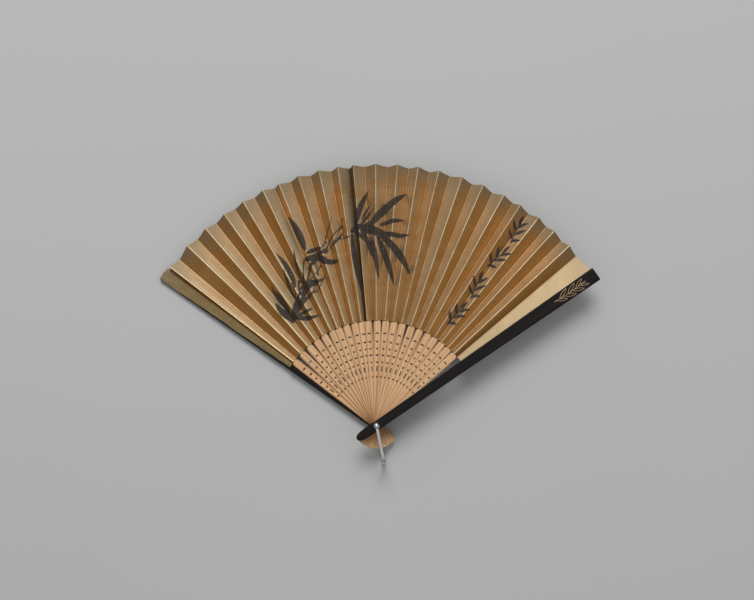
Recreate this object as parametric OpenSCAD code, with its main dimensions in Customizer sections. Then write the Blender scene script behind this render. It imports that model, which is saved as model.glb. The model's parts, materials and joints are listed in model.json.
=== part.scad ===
// Folding hand fan: two lacquered guards, pierced bamboo ribs, a pleated paper leaf,
// and a rivet that also carries a U-shaped bail for a tassel.
// Frame: origin on the rivet's axis at its back end, +Z along the rivet,
// +Y up the open fan's middle, +X to the front guard's side. Millimetres and degrees.

/* [Leaf] */
// Radius of the leaf's inner edge from the rivet
leaf_in_r = 76.5; // [70:0.5:90]
// Radius of the leaf's outer edge from the rivet
leaf_out_r = 190.5; // [160:0.5:192]
// Tilt of each glued pleat, higher on its left edge
pleat_tilt = 32; // [20:1:32]
// Angle that a glued pleat covers, seen along the rivet
pleat_angle = 2.6; // [1.8:0.1:2.6]
// Thickness of a glued pleat: paper on both faces of the rib's tongue
pleat_t = 0.44; // [0.42:0.01:0.45]
// Thickness of a free pleat: the paper alone
paper_t = 0.18; // [0.1:0.02:0.2]

/* [Ribs] */
// Thickness of a rib's blade
rib_t = 0.55; // [0.4:0.05:0.56]
// Width of a rib at its shoulder, just inside the leaf
shoulder_w = 5.5; // [4.5:0.1:5.8]
// Width of a rib at the rivet
waist_w = 4.2; // [3.8:0.1:5]
// Radius that a rib's head reaches beyond the rivet
rib_head_r = 16.6; // [14:0.2:17]
// Length of the tongue inside the leaf
tongue_l = 96; // [80:1:105]
// Width of the tongue
tongue_w = 2.4; // [1.8:0.1:2.5]
// Thickness of the tongue
tongue_t = 0.26; // [0.22:0.01:0.28]

/* [Guards] */
// Thickness of a guard beside the ribs
guard_t = 4; // [4:0.1:4.6]
// Thickness of a guard at its tip
guard_tip_t = 1.25; // [1:0.05:1.25]
// Depth of the step in a guard's inner face where the leaf begins
leaf_step = 1.1; // [1.1:0.05:1.3]
// Width of a guard at its tip
guard_tip_w = 10.3; // [9:0.1:11]
// Width of a guard at the leaf's inner edge
guard_mid_w = 7.8; // [7:0.1:9]
// Width of a guard at the rivet
guard_waist_w = 6.6; // [6:0.1:7.5]
// Radius of a guard's tip from the rivet
guard_tip_r = 193; // [192.5:0.5:200]
// Radius that the front guard's head reaches beyond the rivet
front_head_r = 17; // [16:0.2:18]
// Radius that the back guard's head reaches beyond the rivet, hidden under the ribs' heads
back_head_r = 15; // [13:0.2:15.6]
// Width of the back guard's head
back_head_w = 3.8; // [3.6:0.1:4.4]

/* [Rivet and bail] */
// Diameter of the rivet's shank
shank_d = 2.6; // [2:0.1:3]
// Diameter of the rivet's domed head and of its back washer
head_d = 4.4; // [4.2:0.1:6]
// Height of the domed head
dome_h = 1.4; // [1:0.1:1.8]
// Thickness of the back washer
washer_t = 1; // [0.8:0.1:1.2]
// Reach of the bail from the rivet's axis
bail_l = 28; // [26:0.5:34]
// Width of the bail's strip
bail_w = 2.1; // [1.6:0.1:2.6]
// Thickness of the bail's strip
bail_t = 1; // [0.8:0.1:1.2]
// Direction of the bail, counter-clockwise from +X
bail_angle = -78; // [-110:1:-60]

/* [Hidden] */
ribs = 22;
// Direction of the back guard's middle line, counter-clockwise from +X
back_angle = 145;
// Angle from each stick to the next, clockwise from the back guard to the front guard
gaps = [
    2.6, 6.0, 5.5, 5.2, 5.0, 5.0, 3.8, 4.6, 4.7, 4.2, 3.4, 5.0,
    4.8, 4.6, 4.6, 5.3, 4.9, 5.0, 4.2, 4.8, 4.5, 4.6, 7.7
];
function sum_to(i) = i <= 0 ? 0 : gaps[i - 1] + sum_to(i - 1);
function stick_angle(i) = back_angle - sum_to(i);

// Heights along the rivet
fit_gap = 0.05;
rib_gap = 0.17;
rib_pitch = rib_t + rib_gap;
end_gap = 0.12;
back_leg_z = washer_t + fit_gap;
back_guard_z = back_leg_z + bail_t + fit_gap;
ribs_z = back_guard_z + guard_t + end_gap;
function rib_z(i) = ribs_z + rib_t / 2 + (i - 1) * rib_pitch;
front_guard_z = rib_z(ribs) + rib_t / 2 + end_gap;
front_leg_z = front_guard_z + guard_t + fit_gap;
dome_z = front_leg_z + bail_t + fit_gap;
bore_r = shank_d / 2 + fit_gap;

// A glued pleat's left fold is this far left of the rib's middle line
fold_lead = 0.6;
// The pleat tilts about a line through the rivet this far right of the rib's middle line
axis_lag = pleat_angle / 2 - fold_lead;
// Half of the pleat's angle, measured in its own tilted plane
half_pleat = atan(tan(pleat_angle / 2) / cos(pleat_tilt));
// Rise of a fold line along the radius, for the left fold, and drop for the right one
fold_slope = tan(pleat_angle / 2) * tan(pleat_tilt);

// Past this radius a guard's inner face steps down and tapers to its tip
taper_start_r = 75;
bed_t = guard_t - leaf_step;
taper = atan((bed_t - guard_tip_t) / (guard_tip_r - taper_start_r));
end_paper_t = 0.12;
// Folds where the leaf leaves the guards, from each guard's middle line
back_fold = -1.3;
front_fold = 1.3;

// Radii of the pierced openings along a rib
arch_r = 67;
bar_radii = [60.9, 51.1];
dot_radii = [55.8, 45.9, 35.3];
slot_r = [39.3, 43];

round_fn = 48;
small_fn = 24;

function two_digits(i) = str(i < 10 ? "0" : "", i);
function rib_name(i) = str("rib_", two_digits(i));
function pleat_name(i) = str("glued_pleat_", two_digits(i));

// Points of a rounded end below y0: half-width w at y0, down to y0 - h. It is half an
// ellipse when full is 1, and blunter when full is smaller.
function head_points(w, y0, h, full = 1, steps = 14) =
    [for (k = [0:steps]) let (a = 180 * k / steps)
        [w * sign(cos(a)) * pow(abs(cos(a)), full), y0 - h * pow(sin(a), full)]];

// Turns a shape drawn up +Y to a stick's direction
module along(angle) {
    rotate([0, 0, angle - 90]) children();
}

module rib_outline() {
    corner = 1.7;
    top = leaf_in_r - 0.2;
    w = shoulder_w / 2;
    head_y = -7;
    polygon(concat(
        head_points(waist_w / 2 + 0.3, head_y, rib_head_r + head_y),
        [[-waist_w / 2, 0], [-w, top - 6]],
        [for (a = [180:-15:90]) [corner - w + corner * cos(a), top - corner + corner * sin(a)]],
        [for (a = [90:-15:0]) [w - corner + corner * cos(a), top - corner + corner * sin(a)]],
        [[w, top - 6], [waist_w / 2, 0]]
    ));
}

// The pierced openings: an arch, two bars, three dots and a slender slot
module rib_openings() {
    bar_w = 1.8;
    bar_h = 1;
    dot_r = 0.62;
    slot_w = 0.6;
    depth = 2 * rib_t;
    translate([0, 0, -depth / 2]) {
        intersection() {
            difference() {
                translate([0, arch_r - 1.15, 0]) cylinder(r = 1.75, h = depth, $fn = round_fn);
                translate([0, arch_r - 2.2, -1]) cylinder(r = 1.9, h = depth + 2, $fn = round_fn);
            }
            translate([-1.1, arch_r - 1.5, -1]) cube([2.2, 3, depth + 2]);
        }
        for (r = bar_radii) translate([-bar_w / 2, r - bar_h / 2, 0]) cube([bar_w, bar_h, depth]);
        for (r = dot_radii) translate([0, r, 0]) cylinder(r = dot_r, h = depth, $fn = small_fn);
        translate([-slot_w / 2, slot_r[0], 0]) cube([slot_w, slot_r[1] - slot_r[0], depth]);
    }
}

// The tongue in the plane of its pleat, in the stick's own axes
module tongue() {
    start_r = leaf_in_r - 4;
    rotate([0, 0, -axis_lag]) rotate([0, pleat_tilt, 0])
        translate([-tongue_w / 2, start_r, -tongue_t / 2])
            cube([tongue_w, leaf_in_r - start_r + tongue_l, tongue_t]);
}

module rib(i) {
    butt_y = leaf_in_r - 0.25;
    color("burlywood") translate([0, 0, rib_z(i)]) along(stick_angle(i)) {
        difference() {
            translate([0, 0, -rib_t / 2]) linear_extrude(rib_t) rib_outline();
            rib_openings();
            translate([0, 0, -rib_t]) cylinder(r = bore_r, h = 2 * rib_t, $fn = round_fn);
        }
        intersection() {
            tongue();
            translate([-10, butt_y, -10]) cube([20, leaf_out_r, 20]);
        }
    }
}

// Ring sector drawn up +Y from -a_right to a_left, with its corners on the two radii
module sector(r_in, r_out, a_right, a_left) {
    function at(r, a) = [-r * sin(a), r * cos(a)];
    polygon([at(r_in, -a_right), at(r_out, -a_right), at(r_out, a_left), at(r_in, a_left)]);
}

// One pleat glued to its rib, slotted for the tongue
module glued_pleat(i) {
    color("goldenrod") translate([0, 0, rib_z(i)]) along(stick_angle(i)) difference() {
        rotate([0, 0, -axis_lag]) rotate([0, pleat_tilt, 0]) translate([0, 0, -pleat_t / 2])
            linear_extrude(pleat_t) sector(leaf_in_r, leaf_out_r, half_pleat, half_pleat);
        tongue();
    }
}

// Solid between two fold lines, each given as [direction, height at the rivet, slope]
module pleat_between(left, right) {
    half_t = paper_t / 2;
    // Angle by which the paper stops short of each fold
    clear_angle = 0.12;
    function at(line, side, r, up) =
        [r * cos(line[0] + side), r * sin(line[0] + side), line[1] + line[2] * r + up];
    corners = [for (up = [-half_t, half_t]) each [
        at(left, -clear_angle, leaf_in_r, up), at(left, -clear_angle, leaf_out_r, up),
        at(right, clear_angle, leaf_out_r, up), at(right, clear_angle, leaf_in_r, up)
    ]];
    polyhedron(corners, [
        [0, 3, 2], [0, 2, 1], [4, 5, 6], [4, 6, 7], [0, 1, 5], [0, 5, 4],
        [1, 2, 6], [1, 6, 5], [2, 3, 7], [2, 7, 6], [3, 0, 4], [3, 4, 7]
    ]);
}

// Height and slope of the outer faces of the papers glued to the two guards
taper_slope = tan(taper);
bed_rise = taper_start_r * taper_slope + end_paper_t - leaf_step;
back_paper = [back_angle + back_fold, back_guard_z + guard_t + bed_rise, -taper_slope];
front_paper = [stick_angle(ribs + 1) + front_fold, front_guard_z - bed_rise, taper_slope];
function left_fold(i) = [stick_angle(i) + fold_lead, rib_z(i), fold_slope];
function right_fold(i) = [stick_angle(i) + fold_lead - pleat_angle, rib_z(i), -fold_slope];

// The pleats that hang free between one rib and the next
module free_pleats() {
    color("darkgoldenrod") {
        pleat_between(back_paper, left_fold(1));
        for (i = [1:ribs - 1]) pleat_between(right_fold(i), left_fold(i + 1));
        pleat_between(right_fold(ribs), front_paper);
    }
}

module guard_outline(head_w, head_r) {
    corner = 0.9;
    head_y = -6;
    tip_w = guard_tip_w / 2;
    polygon(concat(
        head_points(head_w / 2, head_y, head_r + head_y, 0.75),
        [[-guard_waist_w / 2, 4], [-guard_mid_w / 2, leaf_in_r]],
        [for (a = [180:-30:90])
            [corner - tip_w + corner * cos(a), guard_tip_r - corner + corner * sin(a)]],
        [for (a = [90:-30:0])
            [tip_w - corner + corner * cos(a), guard_tip_r - corner + corner * sin(a)]],
        [[guard_mid_w / 2, leaf_in_r], [guard_waist_w / 2, 4]]
    ));
}

// A guard lying on its outer face, its inner face stepped and tapered for the leaf
module guard_blank(head_w, head_r) {
    difference() {
        linear_extrude(guard_t) guard_outline(head_w, head_r);
        translate([0, taper_start_r, bed_t]) rotate([-taper, 0, 0])
            translate([-20, 0, 0]) cube([40, 2 * guard_tip_r, 2 * guard_t]);
        translate([0, 0, -1]) cylinder(r = bore_r, h = guard_t + 2, $fn = round_fn);
    }
}

// The paper glued on a guard's tapered bed, from its outer edge to the first fold
module end_paper(a_right, a_left) {
    inset = 0.3;
    function half_w(y) = guard_mid_w / 2 - inset
        + (y - leaf_in_r) * (guard_tip_w - guard_mid_w) / 2 / (guard_tip_r - leaf_in_r);
    function edge_x(y, a) = y * tan(a);
    translate([0, taper_start_r, bed_t]) rotate([-taper, 0, 0])
        translate([0, -taper_start_r, 0]) linear_extrude(end_paper_t) polygon([
            [min(half_w(leaf_in_r), edge_x(leaf_in_r, a_right)), leaf_in_r],
            [min(half_w(leaf_out_r), edge_x(leaf_out_r, a_right)), leaf_out_r],
            [-min(half_w(leaf_out_r), edge_x(leaf_out_r, a_left)), leaf_out_r],
            [-min(half_w(leaf_in_r), edge_x(leaf_in_r, a_left)), leaf_in_r]
        ]);
}

module place_back() {
    translate([0, 0, back_guard_z]) along(back_angle) children();
}

module place_front() {
    translate([0, 0, front_guard_z + guard_t]) along(stick_angle(ribs + 1)) mirror([0, 0, 1])
        children();
}

module back_guard() {
    color("black") place_back() guard_blank(back_head_w, back_head_r);
}

module front_guard() {
    color("black") place_front() guard_blank(guard_waist_w + 0.4, front_head_r);
}

module back_end_paper() {
    color("darkkhaki") place_back() end_paper(-back_fold, 5);
}

module front_end_paper() {
    color("goldenrod") place_front() end_paper(5, front_fold);
}

// Domed head and shank in one, its tail flush with the back washer
module rivet() {
    dome_r = (head_d * head_d / 4 + dome_h * dome_h) / (2 * dome_h);
    color("silver") {
        cylinder(d = shank_d, h = dome_z + dome_h / 2, $fn = round_fn);
        translate([0, 0, dome_z]) intersection() {
            translate([0, 0, dome_h - dome_r]) sphere(r = dome_r, $fn = round_fn);
            cylinder(d = head_d, h = 2 * dome_h, $fn = round_fn);
        }
    }
}

module rivet_washer() {
    color("silver") difference() {
        cylinder(d = head_d, h = washer_t, $fn = round_fn);
        translate([0, 0, -1]) cylinder(d = shank_d, h = washer_t + 2, $fn = round_fn);
    }
}

// Side view of the U, as points [reach, height]: two legs, two round corners and a crossbar
function bail_side(inset) =
    let (
        reach = bail_l - inset,
        low = back_leg_z + inset,
        high = front_leg_z + bail_t - inset,
        r = 6 - inset
    ) concat(
        [[0, low]],
        [for (a = [-90:15:0]) [reach - r + r * cos(a), low + r + r * sin(a)]],
        [for (a = [0:15:90]) [reach - r + r * cos(a), high - r + r * sin(a)]],
        [[0, high]]
    );

module bail() {
    eye_r = head_d / 2;
    color("silver") rotate([0, 0, bail_angle]) difference() {
        union() {
            translate([0, bail_w / 2, 0]) rotate([90, 0, 0]) linear_extrude(bail_w) difference() {
                polygon(bail_side(0));
                polygon(concat([[-1, back_leg_z + bail_t]], bail_side(bail_t),
                    [[-1, front_leg_z]]));
            }
            for (z = [back_leg_z, front_leg_z])
                translate([0, 0, z]) cylinder(r = eye_r, h = bail_t, $fn = round_fn);
        }
        cylinder(r = bore_r, h = dome_z, $fn = round_fn);
    }
}

back_guard();
front_guard();
back_end_paper();
front_end_paper();
free_pleats();
for (i = [1:ribs]) rib(i);
for (i = [1:ribs]) glued_pleat(i);
rivet();
rivet_washer();
bail();
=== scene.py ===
"""Folding hand fan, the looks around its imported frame.

Shapes are worked out in millimetres in a stick's own axes: +y outward from the rivet,
+x to the right of it and z up. place() turns them to the stick's direction, in metres.
Only the pleats are worked out in the whole fan's axes.
"""
import json
import math

import bpy
import numpy as np
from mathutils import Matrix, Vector


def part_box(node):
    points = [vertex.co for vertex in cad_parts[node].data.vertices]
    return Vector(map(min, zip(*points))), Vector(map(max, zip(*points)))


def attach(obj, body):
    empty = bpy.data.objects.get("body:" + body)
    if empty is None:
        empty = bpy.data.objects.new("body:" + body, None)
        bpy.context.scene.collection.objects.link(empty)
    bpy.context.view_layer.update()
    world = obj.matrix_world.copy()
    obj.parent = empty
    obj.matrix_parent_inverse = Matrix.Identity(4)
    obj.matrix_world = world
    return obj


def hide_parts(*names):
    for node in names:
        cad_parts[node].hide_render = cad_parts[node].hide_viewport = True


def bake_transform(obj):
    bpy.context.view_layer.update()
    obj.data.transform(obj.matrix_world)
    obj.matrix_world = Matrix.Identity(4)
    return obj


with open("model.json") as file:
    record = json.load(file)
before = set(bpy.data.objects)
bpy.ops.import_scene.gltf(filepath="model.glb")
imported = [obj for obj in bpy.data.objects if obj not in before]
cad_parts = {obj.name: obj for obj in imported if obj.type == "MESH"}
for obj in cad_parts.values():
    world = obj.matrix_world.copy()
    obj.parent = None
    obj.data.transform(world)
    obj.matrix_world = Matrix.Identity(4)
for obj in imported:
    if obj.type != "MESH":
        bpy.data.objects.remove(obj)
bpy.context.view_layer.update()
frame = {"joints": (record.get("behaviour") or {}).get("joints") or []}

MM = 0.001
RIBS = 22
numbers = range(1, RIBS + 1)

# ---------------------------------------------------------------- places from the frame

travel = {joint["name"]: joint["range_deg"][1] for joint in frame["joints"]}
BACK_DEG = 145.0
FRONT_DEG = 35.0
# Every rib's direction when the fan is closed
CLOSED_DEG = 145.5
rib_deg = CLOSED_DEG - np.cumsum([travel[f"spread_{i:02d}"] for i in numbers])
rib_z = [500 * (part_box(f"rib_{i:02d}")[0].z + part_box(f"rib_{i:02d}")[1].z) for i in numbers]
back_low, back_high = (1000 * corner.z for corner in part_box("back_guard"))
front_low, front_high = (1000 * corner.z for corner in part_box("front_guard"))
rivet_top = 1000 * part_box("rivet")[1].z
bail_low, bail_high = (1000 * corner.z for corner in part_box("bail"))

# Leaf
LEAF_IN, LEAF_OUT = 76.5, 190.5
PLEAT_DEG, FOLD_LEAD = 2.6, 0.6
PLEAT_TILT = 32.0
FOLD_SLOPE = math.tan(math.radians(PLEAT_DEG / 2)) * math.tan(math.radians(PLEAT_TILT))
PAPER_T, TONGUE_T, TONGUE_HALF, TONGUE_END = 0.18, 0.26, 1.2, 172.5
# Width that each fold is rounded over, to either side
FOLD_HALF = 0.5
# Radius at which the paper's own map is to scale around the rivet as well as outward
MID_RADIUS = 134

# Guards
GUARD_T, GUARD_TIP_T, LEAF_STEP, STEP_AT, GUARD_TIP = 4.0, 1.25, 1.1, 75.0, 193.0
TAPER = (GUARD_T - LEAF_STEP - GUARD_TIP_T) / (GUARD_TIP - STEP_AT)
END_PAPER_T = 0.12
# Folds where the leaf leaves the guards, from each guard's middle line
GUARD_FOLD_DEG = 1.3
# Half a guard's width at these distances from the rivet
GUARD_AT = [4, LEAF_IN, GUARD_TIP]
GUARD_HALF = [3.3, 3.9, 5.15]


def bed_height(y):
    """Height of a guard's bed for the paper above the guard's outer face."""
    return GUARD_T - LEAF_STEP - TAPER * (y - STEP_AT)


def smooth(low, high, x):
    """0 below low, 1 above high, and an s-curve between."""
    t = np.clip((x - low) / (high - low), 0, 1)
    return t * t * (3 - 2 * t)


def wander(x, seed, period, waves=5):
    """A sum of sines with seeded phases, from about -1 to 1, for uneven edges."""
    phase = np.random.default_rng(seed).uniform(0, 2 * math.pi, waves)
    out = np.zeros_like(np.asarray(x, float))
    for i in range(waves):
        out += np.sin(2 * math.pi * x * (i + 1) / period + phase[i]) / (i + 1)
    return out / 1.6


# ---------------------------------------------------------------- mesh building

def place(points, deg, z=0.0, flip=False):
    """Turns points from a stick's own axes to its direction, raised by z, in metres."""
    a = math.radians(deg - 90)
    x, y, h = points[..., 0], points[..., 1], points[..., 2]
    if flip:
        h = -h
    return MM * np.stack([
        x * math.cos(a) - y * math.sin(a),
        x * math.sin(a) + y * math.cos(a),
        h + z,
    ], axis=-1)


def grid_quads(rows, cols):
    """Quads of a grid whose columns run to the right and whose rows run outward, facing up."""
    i, j = np.meshgrid(np.arange(rows - 1), np.arange(cols - 1), indexing="ij")
    a = (i * cols + j).ravel()
    return np.column_stack([a, a + 1, a + cols + 1, a + cols])


def shell(top, bottom, quads):
    """A closed sheet: the top surface, the bottom one turned over, and a wall along
    every edge that only one quad uses. The first quads stay the top's."""
    n = len(top)
    edges = np.concatenate([quads[:, [k, (k + 1) % 4]] for k in range(4)])
    single = ~np.isin(edges[:, 0] * n + edges[:, 1], edges[:, 1] * n + edges[:, 0])
    a, b = edges[single].T
    walls = np.column_stack([a, a + n, b + n, b])
    faces = np.concatenate([quads, quads[:, ::-1] + n, walls])
    return np.concatenate([top, bottom]), faces.tolist()


def tube(rings, closed=False):
    """Skin over rings of points, rows by points by 3, capped at both ends or joined up."""
    rows, count = rings.shape[:2]
    i, j = np.meshgrid(np.arange(rows if closed else rows - 1), np.arange(count), indexing="ij")
    k, up = (j + 1) % count, (i + 1) % rows
    quads = np.stack([i * count + j, i * count + k, up * count + k, up * count + j], axis=-1)
    faces = quads.reshape(-1, 4).tolist()
    if not closed:
        last = (rows - 1) * count
        faces += [list(range(count))[::-1], list(range(last, last + count))]
    return rings.reshape(-1, 3), faces


def joined(parts):
    """Several (points, faces) parts as one."""
    points, faces, start = [], [], 0
    for part_points, part_faces in parts:
        points.append(part_points)
        faces += [[start + k for k in face] for face in part_faces]
        start += len(part_points)
    return np.concatenate(points), faces


def turned_out(points, faces):
    """Faces in the order that points them outward, by the sign of the volume they close:
    the sum of a . (b x c) over the triangles that each face splits into."""
    fans = np.array([(f[0], f[k], f[k + 1]) for f in faces for k in range(1, len(f) - 1)])
    a, b, c = points[fans[:, 0]], points[fans[:, 1]], points[fans[:, 2]]
    volume = (a * np.cross(b, c)).sum()
    return faces if volume > 0 else [face[::-1] for face in faces]


def piece(name, points, faces, materials, slot, uv=None, face_material=None, sharp=38, **values):
    """A mesh object from points in metres, with smooth shading, an optional UV map in
    metres and any number of values per point."""
    mesh = bpy.data.meshes.new(name)
    mesh.from_pydata(points.tolist(), [], faces)
    for material in materials:
        mesh.materials.append(material)
    if face_material is not None:
        mesh.polygons.foreach_set("material_index", np.asarray(face_material, np.int32))
    if uv is not None:
        corner = np.empty(len(mesh.loops), np.int32)
        mesh.loops.foreach_get("vertex_index", corner)
        layer = mesh.uv_layers.new(name="lay")
        layer.uv.foreach_set("vector", uv[corner].astype(np.float32).ravel())
    for key, value in values.items():
        attribute = mesh.attributes.new(key, "FLOAT", "POINT")
        attribute.data.foreach_set("value", np.asarray(value, np.float32))
    mesh.shade_smooth()
    mesh.set_sharp_from_angle(angle=math.radians(sharp))
    mesh.update()
    obj = bpy.data.objects.new(name, mesh)
    bpy.context.scene.collection.objects.link(obj)
    return obj


# ---------------------------------------------------------------- node helpers

class Nodes:
    """Short ways to add and link nodes in one tree."""

    def __init__(self, tree):
        self.tree = tree

    def add(self, kind, inputs=(), **settings):
        node = self.tree.nodes.new(kind)
        for key, value in settings.items():
            setattr(node, key, value)
        for key, value in dict(inputs).items():
            self.put(node.inputs[key], value)
        return node

    def put(self, socket, value):
        if isinstance(value, bpy.types.NodeSocket):
            self.tree.links.new(value, socket)
        else:
            socket.default_value = value

    def math(self, operation, a, b=0.0, clamp=False):
        node = self.add("ShaderNodeMath", {0: a, 1: b}, operation=operation, use_clamp=clamp)
        return node.outputs[0]

    def ramp(self, value, low, high, to_low=0.0, to_high=1.0):
        """value carried from low..high to to_low..to_high on an s-curve, held outside."""
        node = self.add("ShaderNodeMapRange", {
            "Value": value, "From Min": low, "From Max": high,
            "To Min": to_low, "To Max": to_high,
        }, interpolation_type="SMOOTHSTEP")
        return node.outputs["Result"]

    def mix(self, factor, a, b, mode="MIX"):
        node = self.add("ShaderNodeMix", data_type="RGBA", blend_type=mode)
        for index, value in ((0, factor), (6, a), (7, b)):
            self.put(node.inputs[index], value)
        return node.outputs[2]

    def noise(self, vector, scale, detail=3.0, rough=0.5, distort=0.0):
        node = self.add("ShaderNodeTexNoise", {
            "Vector": vector, "Scale": scale, "Detail": detail,
            "Roughness": rough, "Distortion": distort,
        })
        return node.outputs["Fac"]

    def stretched(self, vector, scale, shift=(0, 0, 0)):
        node = self.add("ShaderNodeMapping", {
            "Vector": vector, "Scale": scale, "Location": shift,
        })
        return node.outputs["Vector"]

    def value_of(self, name):
        return self.add("ShaderNodeAttribute", attribute_name=name).outputs["Fac"]

    def shared(self, tree, *inputs):
        """A node group placed with its inputs in order, as its list of outputs."""
        node = self.tree.nodes.new("ShaderNodeGroup")
        node.node_tree = tree
        for index, value in enumerate(inputs):
            self.put(node.inputs[index], value)
        return list(node.outputs)


def group(name, inputs, outputs):
    """A shader node group with float or vector inputs and float outputs."""
    tree = bpy.data.node_groups.new(name, "ShaderNodeTree")
    kinds = {"f": "NodeSocketFloat", "v": "NodeSocketVector"}
    for key, kind in inputs:
        tree.interface.new_socket(key, in_out="INPUT", socket_type=kinds[kind])
    for key in outputs:
        tree.interface.new_socket(key, in_out="OUTPUT", socket_type="NodeSocketFloat")
    nodes = Nodes(tree)
    return tree, nodes, nodes.add("NodeGroupInput").outputs, nodes.add("NodeGroupOutput").inputs


def brushing_group():
    """Fine lines across the leaf, at a constant distance from the rivet, cloudy patches and
    small specks."""
    tree, n, given, out = group("brushing", [("Vector", "v")], ["Lines", "Clouds", "Specks"])
    lines = n.noise(n.stretched(given["Vector"], (90, 2400, 1)), 1.0, 4.0, 0.7)
    n.put(out["Lines"], lines)
    n.put(out["Clouds"], n.noise(given["Vector"], 85.0, 4.0, 0.6, 0.4))
    n.put(out["Specks"], n.ramp(n.noise(given["Vector"], 1400.0, 2.0), 0.70, 0.78))
    return tree


def grain_group():
    """Long fibres along a strip of wood, with paler and darker streaks and small pores."""
    tree, n, given, out = group("grain", [("Vector", "v"), ("Fineness", "f")],
                                ["Fibres", "Streaks", "Pores"])
    scaled = n.add("ShaderNodeVectorMath", {0: given["Vector"], "Scale": given["Fineness"]},
                   operation="SCALE").outputs[0]
    n.put(out["Fibres"], n.noise(n.stretched(scaled, (5200, 90, 1)), 1.0, 4.0, 0.6))
    n.put(out["Streaks"], n.noise(n.stretched(scaled, (1100, 14, 1)), 1.0, 3.0, 0.5, 0.3))
    n.put(out["Pores"], n.ramp(n.noise(n.stretched(scaled, (4200, 260, 1)), 1.0, 2.0), 0.66, 0.74))
    return tree


brushing = brushing_group()
grain = grain_group()


def material(name):
    """A new material with its Principled shader, and a helper for its nodes."""
    made = bpy.data.materials.new(name)
    made.use_nodes = True
    shader = next(n for n in made.node_tree.nodes if n.type == "BSDF_PRINCIPLED")
    return made, Nodes(made.node_tree), shader


def finish_with(n, shader, color=None, roughness=None, metallic=None, height=None,
                strength=0.5, distance=0.0002, **constants):
    """Links what varies, and sets what doesn't on the shader's own sockets."""
    for key, value in (("Base Color", color), ("Roughness", roughness), ("Metallic", metallic)):
        if value is not None:
            n.put(shader.inputs[key], value)
    for key, value in constants.items():
        shader.inputs[key.replace("_", " ")].default_value = value
    if height is not None:
        bump = n.add("ShaderNodeBump", {"Height": height, "Strength": strength,
                                        "Distance": distance})
        n.put(shader.inputs["Normal"], bump.outputs["Normal"])


def lay_of(n):
    """The piece's own map, laid along its paper or its grain in metres."""
    return n.add("ShaderNodeUVMap", uv_map="lay").outputs["UV"]


# ---------------------------------------------------------------- materials

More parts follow.
